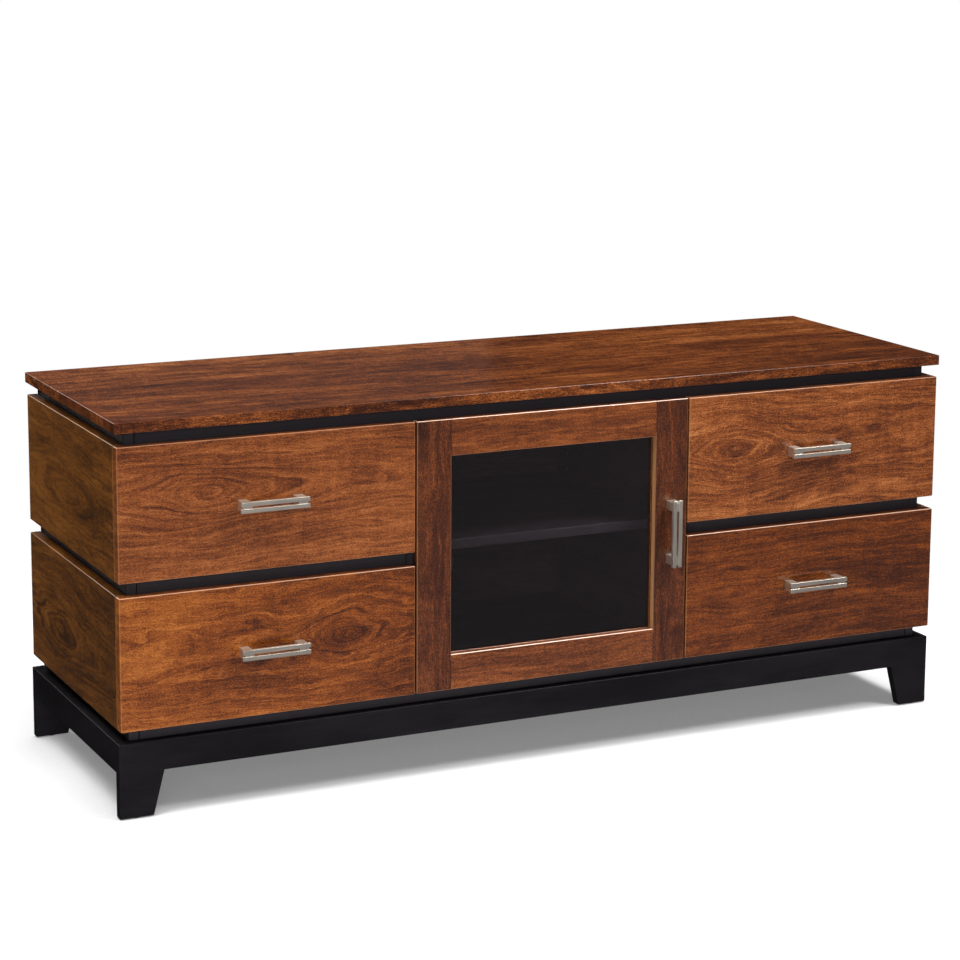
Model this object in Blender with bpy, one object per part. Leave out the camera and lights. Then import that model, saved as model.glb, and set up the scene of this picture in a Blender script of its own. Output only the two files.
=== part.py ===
"""Console television cabinet, 1.65 m wide.

A black carcass stands on a low black base with tapered legs.  Wood drawer fronts, a framed
glass door, wood side skins and a wood top are fixed to it with black reveals between them.

Frame: +X to the cabinet's right, +Y to its back, +Z up, origin on the floor at the middle
of the bounding box.  The four drawers slide along -Y and the door turns about its front
left edge.  Lengths are in metres.
"""
import math

import bmesh
import bpy
from mathutils import Matrix, Vector

# ---------------------------------------------------------------- driving dimensions
WIDTH = 1.650              # top slab, end to end
DEPTH = 0.526              # top slab, front to back
SLAB = 0.019               # top slab thickness
BASE_HEIGHT = 0.134        # floor to the top of the base
FRONT_HEIGHT = 0.235       # one drawer front
REVEAL_TOP = 0.0225        # black band under the slab
REVEAL_MIDDLE = 0.0245     # black band between the drawer fronts
REVEAL_BOTTOM = 0.023      # black band above the base

FRONT_THICKNESS = 0.020    # drawer fronts and door frame
FRONT_SETBACK = 0.001      # fronts behind the slab's front edge
END_SETBACK = 0.0036       # fronts and side skins inside the slab's ends
FRONT_GAP = 0.0031         # between a drawer front and the door

CARCASS_END = 0.0232       # carcass side's outer face, inside the slab's end
CARCASS_FRONT = 0.0237     # carcass's front face, behind the slab's front edge
BOARD = 0.019              # carcass sides and dividers
DECK = 0.030               # carcass top and bottom
RAIL_HEIGHT = 0.040        # rail between two drawers
RAIL_THICKNESS = 0.022
BACK_PANEL = 0.006
BACK_INSET = 0.004         # back panel inside the carcass's back edge

BASE_END = 0.001           # base inside the slab's ends
BASE_FRONT = 0.0075        # base behind the slab's front edge
BASE_RAIL_BOTTOM = 0.0808  # underside of the base's rails
LEG_FOOT = 0.061           # leg width at the floor
LEG_SHOULDER = 0.081       # leg width under the rail
BASE_PANEL = 0.012

STILE = 0.067              # door frame
DOOR_RAIL_TOP = 0.067
DOOR_RAIL_BOTTOM = 0.065
RABBET_WIDTH = 0.008       # step behind the frame's inner edge that holds the glass
RABBET_LIP = 0.0125        # wood left in front of the glass
GLASS = 0.004
RETAINER_WIDTH = 0.0075

SHELF = 0.018
SHELF_TOP = 0.417
SHELF_SETBACK = 0.036      # shelf behind the carcass's front face

PULL_LENGTH = 0.1255
PULL_HEIGHT = 0.019
PULL_BAR = 0.007           # square bar
PULL_REACH = 0.029         # bar's front face to the wood
PULL_CENTRES = 0.1016      # between the two posts
PULL_POST = 0.0165
PULL_POST_STEP = 0.0005    # post below the bars' outer faces

RUNNER_SPACE = 0.0127      # between drawer box and carcass, each side
RUNNER_HEIGHT = 0.045
RUNNER_LENGTH = 0.450
RUNNER_SHEET = 0.0012
RUNNER_DEPTH = 0.0088
RUNNER_PLAY = 0.0015       # ball race between the two channels

BOX_HEIGHT = 0.170
BOX_DEPTH = 0.450
BOX_WALL = 0.013
BOX_FLOOR = 0.006
BOX_FLOOR_LIFT = 0.010     # drawer bottom above the lower edge of its walls
BOX_CLEARANCE = 0.012      # drawer box above the board below it

CUP_RADIUS = 0.0175
CUP_DEPTH = 0.0115
CUP_WALL = 0.001
CUP_FLANGE_RADIUS = 0.021
CUP_FLANGE = 0.0012
CUP_FROM_EDGE = 0.0225
HINGE_FROM_END = 0.095     # hinge centre to the door's top or bottom
ARM_CLEAR = 0.005          # arm's nose behind the door
ARM_LENGTH = 0.062
ARM_HEIGHT = 0.014
ARM_THICKNESS = 0.012
PLATE_LENGTH = 0.046
PLATE_HEIGHT = 0.044
PLATE_THICKNESS = 0.002

CABLE_HOLE_RADIUS = 0.038
CABLE_HOLE_Z = 0.250
GROMMET_WALL = 0.003
GROMMET_FLANGE = 0.005
GROMMET_FLANGE_THICKNESS = 0.002

TOUCH = 0.0003             # gap kept where two pieces touch
EDGE = 0.0012              # rounding of the visible boards
EDGE_BLACK = 0.0008        # rounding of the black boards
ROUND = 32                 # sides of a round piece

# ---------------------------------------------------------------- levels and planes
PROUD = PULL_REACH - FRONT_SETBACK
Y_SLAB = (PROUD - DEPTH) / 2                   # slab's front edge
Y_BACK = Y_SLAB + DEPTH
Y_FRONT = Y_SLAB + FRONT_SETBACK               # face of the fronts
Y_FRONT_BACK = Y_FRONT + FRONT_THICKNESS
Y_CARCASS = Y_SLAB + CARCASS_FRONT
Y_PANEL_BACK = Y_BACK - BACK_INSET
Y_PANEL = Y_PANEL_BACK - BACK_PANEL
Y_BASE = Y_SLAB + BASE_FRONT

Z_LOWER = BASE_HEIGHT + REVEAL_BOTTOM          # lower edge of the lower fronts
Z_LOWER_TOP = Z_LOWER + FRONT_HEIGHT
Z_UPPER = Z_LOWER_TOP + REVEAL_MIDDLE
Z_UPPER_TOP = Z_UPPER + FRONT_HEIGHT
Z_SLAB = Z_UPPER_TOP + REVEAL_TOP
Z_TOP = Z_SLAB + SLAB
Z_CARCASS = BASE_HEIGHT + TOUCH
Z_CARCASS_TOP = Z_SLAB - TOUCH
Z_DECK = Z_CARCASS + DECK                      # upper face of the carcass bottom
Z_CEILING = Z_CARCASS_TOP - DECK               # lower face of the carcass top
Z_RAIL = (Z_LOWER_TOP + Z_UPPER - RAIL_HEIGHT) / 2
Z_RAIL_TOP = Z_RAIL + RAIL_HEIGHT

X_END = WIDTH / 2
X_SKIN = X_END - END_SETBACK                   # outer ends of the fronts and the skins
FRONT_WIDTH = (2 * X_SKIN - 2 * FRONT_GAP) / 3
X_DOOR = FRONT_WIDTH / 2                       # door's half width
X_DRAWER = X_DOOR + FRONT_GAP                  # drawer front's inner end
X_CARCASS = X_END - CARCASS_END                # carcass side's outer face
X_SIDE = X_CARCASS - BOARD                     # carcass side's inner face
X_DIVIDER = X_DOOR + FRONT_GAP / 2 + BOARD / 2 # divider's face towards the drawers
X_BAY = X_DIVIDER - BOARD                      # divider's face towards the door bay
X_BASE = X_END - BASE_END

SIDES = {"left": -1, "right": 1}
LEVELS = {
    "lower": (Z_LOWER, Z_LOWER_TOP, Z_DECK),
    "upper": (Z_UPPER, Z_UPPER_TOP, Z_RAIL_TOP),
}

HINGE_AXIS = Vector((-X_DOOR, Y_FRONT, 0.0))
HINGE_LEVELS = {"lower": Z_LOWER + HINGE_FROM_END, "upper": Z_UPPER_TOP - HINGE_FROM_END}


# ---------------------------------------------------------------- materials
def material(name, colour, roughness, metallic=0.0, alpha=1.0):
    made = bpy.data.materials.new(name)
    made.use_nodes = True
    made.diffuse_color = (*colour, alpha)
    shader = made.node_tree.nodes["Principled BSDF"]
    shader.inputs["Base Color"].default_value = (*colour, 1.0)
    shader.inputs["Roughness"].default_value = roughness
    shader.inputs["Metallic"].default_value = metallic
    shader.inputs["Alpha"].default_value = alpha
    return made


def make_materials():
    return {
        "wood": material("stained_cherry", (0.22, 0.062, 0.020), 0.35),
        "black": material("black_lacquer", (0.010, 0.009, 0.011), 0.40),
        "birch": material("drawer_birch", (0.62, 0.44, 0.26), 0.50),
        "nickel": material("brushed_nickel", (0.56, 0.53, 0.49), 0.30, metallic=1.0),
        "zinc": material("zinc_steel", (0.50, 0.51, 0.53), 0.38, metallic=1.0),
        "glass": material("door_glass", (0.60, 0.66, 0.66), 0.05, alpha=0.35),
        "rubber": material("black_plastic", (0.015, 0.015, 0.015), 0.55),
    }


# ---------------------------------------------------------------- shapes
def as_object(name, shape, finish, home=None):
    """Turn a bmesh in world coordinates into an object, under the empty `home` if given."""
    origin = home.location.copy() if home else Vector((0.0, 0.0, 0.0))
    bmesh.ops.translate(shape, verts=shape.verts, vec=-origin)
    bmesh.ops.recalc_face_normals(shape, faces=shape.faces)
    mesh = bpy.data.meshes.new(name)
    shape.to_mesh(mesh)
    shape.free()
    mesh.materials.append(finish)
    made = bpy.data.objects.new(name, mesh)
    bpy.context.scene.collection.objects.link(made)
    made.parent = home
    return made


def round_edges(made, width, segments=2):
    """Round the outward corners; inward corners stay sharp, so that a neighbour fits them."""
    shape = bmesh.new()
    shape.from_mesh(made.data)
    weight = shape.edges.layers.float.new("bevel_weight_edge")
    for edge in shape.edges:
        edge[weight] = float(edge.is_convex and edge.calc_face_angle() > math.radians(40))
    shape.to_mesh(made.data)
    shape.free()
    bevel = made.modifiers.new("edges", "BEVEL")
    bevel.width = width
    bevel.segments = segments
    bevel.limit_method = "WEIGHT"
    return made


def cells(xs, ys, zs, filled):
    """Closed skin round the filled cells of a grid; filled(i, j, k) says which cells are solid."""
    shape = bmesh.new()
    corners = {}
    sizes = (len(xs) - 1, len(ys) - 1, len(zs) - 1)

    def corner(i, j, k):
        if (i, j, k) not in corners:
            corners[i, j, k] = shape.verts.new((xs[i], ys[j], zs[k]))
        return corners[i, j, k]

    def solid(index):
        inside = all(0 <= index[axis] < sizes[axis] for axis in range(3))
        return inside and filled(*index)

    for i in range(sizes[0]):
        for j in range(sizes[1]):
            for k in range(sizes[2]):
                if not solid((i, j, k)):
                    continue
                for axis in range(3):
                    for step in (0, 1):
                        beside = [i, j, k]
                        beside[axis] += 1 if step else -1
                        if solid(tuple(beside)):
                            continue
                        across = [a for a in range(3) if a != axis]
                        loop = []
                        for da, db in ((0, 0), (1, 0), (1, 1), (0, 1)):
                            at = [i, j, k]
                            at[axis] += step
                            at[across[0]] += da
                            at[across[1]] += db
                            loop.append(corner(*at))
                        shape.faces.new(loop)
    return shape


def block(low, high):
    return cells((low[0], high[0]), (low[1], high[1]), (low[2], high[2]), lambda i, j, k: True)


def board(name, low, high, finish, home=None, edge=0.0, segments=2):
    made = as_object(name, block(low, high), finish, home)
    return round_edges(made, edge, segments) if edge else made


def prism(outline, y0, y1):
    """Outline of (x, z) points, extruded from y0 to y1."""
    shape = bmesh.new()
    face = shape.faces.new([shape.verts.new((x, y0, z)) for x, z in outline])
    grown = bmesh.ops.extrude_face_region(shape, geom=[face])
    moved = [item for item in grown["geom"] if isinstance(item, bmesh.types.BMVert)]
    bmesh.ops.translate(shape, verts=moved, vec=(0.0, y1 - y0, 0.0))
    return shape


def turned(profile, centre, sides=ROUND):
    """Closed (radius, y) profile spun about the Y direction through `centre`."""
    shape = bmesh.new()
    rings = []
    for step in range(sides):
        spin = Matrix.Rotation(step * math.tau / sides, 4, "Y")
        points = [spin @ Vector((radius, 0.0, 0.0)) + Vector((0.0, y, 0.0)) for radius, y in profile]
        rings.append([shape.verts.new(point + Vector((centre[0], 0.0, centre[1]))) for point in points])
    count = len(profile)
    for step, ring in enumerate(rings):
        after = rings[(step + 1) % sides]
        for i in range(count):
            j = (i + 1) % count
            shape.faces.new((ring[i], ring[j], after[j], after[i]))
    return shape


def bore(made, name, centre, radius, y0, y1, home=None):
    """Cut a round hole along Y into `made`."""
    shape = bmesh.new()
    bmesh.ops.create_cone(shape, cap_ends=True, segments=ROUND, radius1=radius, radius2=radius,
                          depth=y1 - y0, matrix=Matrix.Rotation(math.pi / 2, 4, "X"))
    bmesh.ops.translate(shape, verts=shape.verts, vec=(centre[0], (y0 + y1) / 2, centre[1]))
    cutter = as_object(name, shape, made.data.materials[0], home)
    cutter.hide_render = True
    cutter.display_type = "WIRE"
    cut = made.modifiers.new(name, "BOOLEAN")
    cut.operation = "DIFFERENCE"
    cut.object = cutter


def span(side, inner, outer):
    """Low and high x of a piece that lies between two distances from the middle."""
    return (inner, outer) if side > 0 else (-outer, -inner)


def empty(name, location):
    made = bpy.data.objects.new(name, None)
    made.location = location
    bpy.context.scene.collection.objects.link(made)
    return made


# ---------------------------------------------------------------- fixed case
def make_base(finish):
    """Front and back boards with tapered legs, plain side rails, and a panel set flush."""
    outline = [
        (-X_BASE, 0.0), (-X_BASE + LEG_FOOT, 0.0), (-X_BASE + LEG_SHOULDER, BASE_RAIL_BOTTOM),
        (X_BASE - LEG_SHOULDER, BASE_RAIL_BOTTOM), (X_BASE - LEG_FOOT, 0.0), (X_BASE, 0.0),
        (X_BASE, BASE_HEIGHT), (-X_BASE, BASE_HEIGHT),
    ]
    for name, y0 in (("base_front", Y_BASE), ("base_back", Y_BACK - BOARD)):
        round_edges(as_object(name, prism(outline, y0, y0 + BOARD), finish["black"]), EDGE_BLACK)
    y0 = Y_BASE + BOARD + TOUCH
    y1 = Y_BACK - BOARD - TOUCH
    for word, side in SIDES.items():
        low, high = span(side, X_BASE - BOARD, X_BASE)
        board("base_side_" + word, (low, y0, BASE_RAIL_BOTTOM), (high, y1, BASE_HEIGHT),
              finish["black"], edge=EDGE_BLACK)
    half = X_BASE - BOARD - TOUCH
    board("base_panel", (-half, y0, BASE_HEIGHT - BASE_PANEL), (half, y1, BASE_HEIGHT), finish["black"])


def make_carcass(finish):
    black = finish["black"]
    for word, side in SIDES.items():
        low, high = span(side, X_SIDE, X_CARCASS)
        board("carcass_side_" + word, (low, Y_CARCASS, Z_CARCASS), (high, Y_BACK, Z_CARCASS_TOP),
              black, edge=EDGE_BLACK, segments=1)
        low, high = span(side, X_BAY, X_DIVIDER)
        board("divider_" + word, (low, Y_CARCASS, Z_DECK + TOUCH), (high, Y_PANEL - TOUCH, Z_CEILING - TOUCH),
              black, edge=EDGE_BLACK, segments=1)
        low, high = span(side, X_DIVIDER + TOUCH, X_SIDE - TOUCH)
        board("drawer_rail_" + word, (low, Y_CARCASS, Z_RAIL), (high, Y_CARCASS + RAIL_THICKNESS, Z_RAIL_TOP),
              black, edge=EDGE_BLACK, segments=1)
    half = X_SIDE - TOUCH
    for name, z0, z1 in (("carcass_bottom", Z_CARCASS, Z_DECK), ("carcass_top", Z_CEILING, Z_CARCASS_TOP)):
        board(name, (-half, Y_CARCASS, z0), (half, Y_PANEL - TOUCH, z1), black, edge=EDGE_BLACK, segments=1)
    panel = board("back_panel", (-half, Y_PANEL, Z_CARCASS), (half, Y_PANEL_BACK, Z_CARCASS_TOP), black)
    bore(panel, "cable_hole_cutter", (0.0, CABLE_HOLE_Z), CABLE_HOLE_RADIUS,
         Y_PANEL - SLAB, Y_PANEL_BACK + SLAB)
    half = X_BAY - TOUCH
    board("shelf", (-half, Y_CARCASS + SHELF_SETBACK, SHELF_TOP - SHELF), (half, Y_PANEL - TOUCH, SHELF_TOP),
          black, edge=EDGE_BLACK)


def make_cable_grommet(finish):
    """Lined ring in the back panel's hole, with a flange outside."""
    outer = CABLE_HOLE_RADIUS - TOUCH
    inner = outer - GROMMET_WALL
    flange = outer + GROMMET_FLANGE
    seat = Y_PANEL_BACK + TOUCH
    rim = seat + GROMMET_FLANGE_THICKNESS
    profile = [(inner, Y_PANEL), (outer, Y_PANEL), (outer, seat), (flange, seat), (flange, rim), (inner, rim)]
    ring = as_object("cable_grommet", turned(profile, (0.0, CABLE_HOLE_Z)), finish["rubber"])
    shade(ring)


def shade(made):
    made.data.shade_smooth()
    made.data.set_sharp_from_angle(angle=math.radians(40))


def make_skins(finish):
    """Wood boards on the carcass sides, in line with the drawer fronts."""
    for word, side in SIDES.items():
        low, high = span(side, X_CARCASS + TOUCH, X_SKIN)
        for level, (z0, z1, _) in LEVELS.items():
            board("side_skin_" + level + "_" + word, (low, Y_CARCASS, z0), (high, Y_BACK, z1),
                  finish["wood"], edge=EDGE)


def make_top(finish):
    board("top_slab", (-X_END, Y_SLAB, Z_SLAB), (X_END, Y_BACK, Z_TOP), finish["wood"], edge=EDGE)


# ---------------------------------------------------------------- drawers
def pull_shape(centre, upright):
    """Two square bars on two posts, lying along X, or along Z where `upright`."""
    half = PULL_LENGTH / 2
    post_in = (PULL_CENTRES - PULL_POST) / 2
    post_out = (PULL_CENTRES + PULL_POST) / 2
    rise = PULL_HEIGHT / 2
    along = (-half, -post_out, -post_in, post_in, post_out, half)
    across = (-rise, -rise + PULL_POST_STEP, PULL_BAR - rise, rise - PULL_BAR, rise - PULL_POST_STEP, rise)
    depth = (Y_FRONT - PULL_REACH, Y_FRONT - PULL_REACH + PULL_BAR, Y_FRONT - TOUCH)

    def filled(i, j, k):
        if j == 0:
            return k != 2
        return i in (1, 3) and 0 < k < 4

    shape = cells(along, depth, across, filled)
    if upright:
        bmesh.ops.rotate(shape, verts=shape.verts, cent=(0.0, 0.0, 0.0),
                         matrix=Matrix.Rotation(math.pi / 2, 3, "Y"))
    bmesh.ops.translate(shape, verts=shape.verts, vec=(centre[0], 0.0, centre[1]))
    return shape


def channel(side_x, towards, reach, half_height, z, y0):
    """C channel along Y: a web at side_x and two flanges that reach `towards` +X or -X."""
    web = side_x + towards * RUNNER_SHEET
    tip = side_x + towards * reach
    xs = sorted((side_x, web, tip))
    zs = (z - half_height, z - half_height + RUNNER_SHEET, z + half_height - RUNNER_SHEET, z + half_height)
    web_cell = 0 if towards > 0 else 1
    return cells(xs, (y0, y0 + RUNNER_LENGTH), zs, lambda i, j, k: i == web_cell or k != 1)


def make_runners(tag, x_case, x_box, z, finish, home):
    """Fixed channel on the case at x_case, and a smaller one inside it on the drawer box."""
    towards = 1 if x_box > x_case else -1
    half = RUNNER_HEIGHT / 2
    fixed = channel(x_case + towards * TOUCH, towards, RUNNER_DEPTH, half, z, Y_CARCASS + RUNNER_PLAY)
    as_object("runner_case_" + tag, fixed, finish["zinc"])
    half -= RUNNER_SHEET + RUNNER_PLAY
    sliding = channel(x_box - towards * TOUCH, -towards, RUNNER_DEPTH, half, z, Y_FRONT_BACK + TOUCH)
    as_object("runner_drawer_" + tag, sliding, finish["zinc"], home)


def make_drawer(level, word, finish):
    side = SIDES[word]
    z0, z1, floor = LEVELS[level]
    tag = level + "_" + word
    middle = side * (X_DRAWER + FRONT_WIDTH / 2)
    home = empty("drawer_" + tag + "_origin", (middle, Y_FRONT, (z0 + z1) / 2))

    low, high = span(side, X_DRAWER, X_SKIN)
    board("drawer_front_" + tag, (low, Y_FRONT, z0), (high, Y_FRONT_BACK, z1), finish["wood"], home, EDGE)

    inner = X_DIVIDER + RUNNER_SPACE
    outer = X_SIDE - RUNNER_SPACE
    low, high = span(side, inner, outer)
    y0 = Y_FRONT_BACK + TOUCH
    bottom = floor + BOX_CLEARANCE
    under = bottom + BOX_FLOOR_LIFT
    xs = (low, low + BOX_WALL, high - BOX_WALL, high)
    ys = (y0, y0 + BOX_WALL, y0 + BOX_DEPTH - BOX_WALL, y0 + BOX_DEPTH)
    zs = (bottom, under, under + BOX_FLOOR, bottom + BOX_HEIGHT)
    box = cells(xs, ys, zs, lambda i, j, k: i != 1 or j != 1 or k == 1)
    as_object("drawer_box_" + tag, box, finish["birch"], home)

    pull = as_object("drawer_pull_" + tag, pull_shape((middle, (z0 + z1) / 2), False), finish["nickel"], home)
    round_edges(pull, EDGE_BLACK / 2, 1)

    z = bottom + BOX_HEIGHT / 2
    make_runners(tag + "_inner", side * X_DIVIDER, side * inner, z, finish, home)
    make_runners(tag + "_outer", side * X_SIDE, side * outer, z, finish, home)


# ---------------------------------------------------------------- door
def make_door(finish):
    """Frame with the stiles running through, glass in a rabbet, and a bead behind the glass."""
    wood = finish["wood"]
    home = empty("door_hinge_axis", HINGE_AXIS)
    opening = X_DOOR - STILE
    z0 = Z_LOWER + DOOR_RAIL_BOTTOM
    z1 = Z_UPPER_TOP - DOOR_RAIL_TOP
    seat = opening + RABBET_WIDTH
    lip = Y_FRONT + RABBET_LIP

    for word, side in SIDES.items():
        xs = sorted((side * opening, side * seat, side * X_DOOR))
        step = 0 if side > 0 else 1
        shape = cells(xs, (Y_FRONT, lip, Y_FRONT_BACK),
                      (Z_LOWER, z0 - RABBET_WIDTH, z1 + RABBET_WIDTH, Z_UPPER_TOP),
                      lambda i, j, k: not (i == step and j == 1 and k == 1))
        stile = as_object("door_stile_" + word, shape, wood, home)
        if word == "left":
            for level, z in HINGE_LEVELS.items():
                bore(stile, "hinge_bore_" + level, (-X_DOOR + CUP_FROM_EDGE, z), CUP_RADIUS + TOUCH,
                     Y_FRONT_BACK - CUP_DEPTH - TOUCH, Y_FRONT_BACK + CUP_DEPTH, home)
        round_edges(stile, EDGE_BLACK, 1)

    half = opening - TOUCH
    rails = (("bottom", (Z_LOWER, z0 - RABBET_WIDTH, z0), 1),
             ("top", (z1, z1 + RABBET_WIDTH, Z_UPPER_TOP), 0))
    for word, zs, step in rails:
        shape = cells((-half, half), (Y_FRONT, lip, Y_FRONT_BACK), zs,
                      lambda i, j, k: not (j == 1 and k == step))
        round_edges(as_object("door_rail_" + word, shape, wood, home), EDGE_BLACK, 1)

    half = seat - TOUCH
    low_z = z0 - RABBET_WIDTH + TOUCH
    high_z = z1 + RABBET_WIDTH - TOUCH
    y0 = lip + TOUCH
    board("door_glass", (-half, y0, low_z), (half, y0 + GLASS, high_z), finish["glass"], home)
    ring = cells((-half, RETAINER_WIDTH - half, half - RETAINER_WIDTH, half),
                 (y0 + GLASS + TOUCH, Y_FRONT_BACK),
                 (low_z, low_z + RETAINER_WIDTH, high_z - RETAINER_WIDTH, high_z),
                 lambda i, j, k: i != 1 or k != 1)
    as_object("glass_retainer", ring, wood, home)

    place = (X_DOOR - STILE / 2, (Z_LOWER + Z_UPPER_TOP) / 2)
    pull = as_object("door_pull", pull_shape(place, True), finish["nickel"], home)
    round_edges(pull, EDGE_BLACK / 2, 1)


def make_hinge(level, finish):
    """Cup in the door's left stile, and an arm on a plate on the left divider."""
    z = HINGE_LEVELS[level]
    home = bpy.data.objects["door_hinge_axis"]
    inside = CUP_RADIUS - CUP_WALL
    face = Y_FRONT_BACK + TOUCH
    deep = face - CUP_DEPTH
    profile = [
        (0.002, deep), (CUP_RADIUS, deep), (CUP_RADIUS, face), (CUP_FLANGE_RADIUS, face),
        (CUP_FLANGE_RADIUS, face + CUP_FLANGE), (inside, face + CUP_FLANGE),
        (inside, deep + CUP_WALL), (0.002, deep + CUP_WALL),
    ]
    cup = turned(profile, (-X_DOOR + CUP_FROM_EDGE, z))
    shade(as_object("hinge_cup_" + level, cup, finish["nickel"], home))

    nose = Y_FRONT_BACK + ARM_CLEAR
    plate_y = nose + (ARM_LENGTH - PLATE_LENGTH)
    low = -X_BAY + TOUCH
    xs = (low, low + PLATE_THICKNESS, low + ARM_THICKNESS)
    ys = (nose, plate_y, plate_y + PLATE_LENGTH)
    rise = ARM_HEIGHT / 2
    reach = PLATE_HEIGHT / 2
    zs = (z - reach, z - rise, z + rise, z + reach)
    arm = cells(xs, ys, zs, lambda i, j, k: k == 1 if i == 1 or j == 0 else True)
    round_edges(as_object("hinge_arm_" + level, arm, finish["nickel"]), EDGE_BLACK / 2, 1)


# ---------------------------------------------------------------- assembly
def main():
    for old in list(bpy.data.objects):
        bpy.data.objects.remove(old, do_unlink=True)
    finish = make_materials()
    make_base(finish)
    make_carcass(finish)
    make_cable_grommet(finish)
    make_skins(finish)
    make_top(finish)
    for level in LEVELS:
        for word in SIDES:
            make_drawer(level, word, finish)
    make_door(finish)
    for level in HINGE_LEVELS:
        make_hinge(level, finish)


main()
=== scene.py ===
"""Looks of the console television cabinet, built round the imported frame.

Boards, pulls, hinges and fittings are rebuilt with finer shapes in the places that the frame
gives, and every surface gets a procedural material.  Lengths are in metres, in the frame:
+X to the cabinet's right, +Y to its back, +Z up.
"""
import itertools
import math

import bmesh
import bpy
from mathutils import Matrix, Quaternion, Vector


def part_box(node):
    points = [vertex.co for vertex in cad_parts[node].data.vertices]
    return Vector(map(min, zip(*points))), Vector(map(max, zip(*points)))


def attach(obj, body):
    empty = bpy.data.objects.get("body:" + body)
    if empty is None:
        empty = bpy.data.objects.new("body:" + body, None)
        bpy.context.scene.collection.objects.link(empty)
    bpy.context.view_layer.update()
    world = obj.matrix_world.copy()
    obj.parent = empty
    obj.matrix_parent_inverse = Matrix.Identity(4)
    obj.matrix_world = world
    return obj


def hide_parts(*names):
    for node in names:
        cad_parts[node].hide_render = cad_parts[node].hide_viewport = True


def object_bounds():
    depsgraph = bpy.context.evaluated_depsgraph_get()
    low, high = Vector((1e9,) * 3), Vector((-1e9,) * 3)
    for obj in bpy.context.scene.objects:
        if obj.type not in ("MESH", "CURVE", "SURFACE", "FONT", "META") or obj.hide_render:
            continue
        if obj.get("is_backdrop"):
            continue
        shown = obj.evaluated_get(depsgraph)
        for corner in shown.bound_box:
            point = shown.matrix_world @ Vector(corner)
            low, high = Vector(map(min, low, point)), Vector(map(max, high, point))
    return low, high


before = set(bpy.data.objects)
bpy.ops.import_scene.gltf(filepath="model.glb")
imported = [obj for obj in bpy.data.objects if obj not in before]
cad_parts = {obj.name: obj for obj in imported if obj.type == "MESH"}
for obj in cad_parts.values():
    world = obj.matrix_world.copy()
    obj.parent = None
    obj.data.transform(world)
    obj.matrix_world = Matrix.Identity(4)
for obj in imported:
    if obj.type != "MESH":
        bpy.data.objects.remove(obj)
cad_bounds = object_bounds()

SIDES = {"left": -1, "right": 1}
LEVELS = ("lower", "upper")
SEAM = 0.0003              # gap that the frame leaves where two pieces touch
SPAN_SOCKETS = ("From Min", "From Max", "To Min", "To Max")


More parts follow.
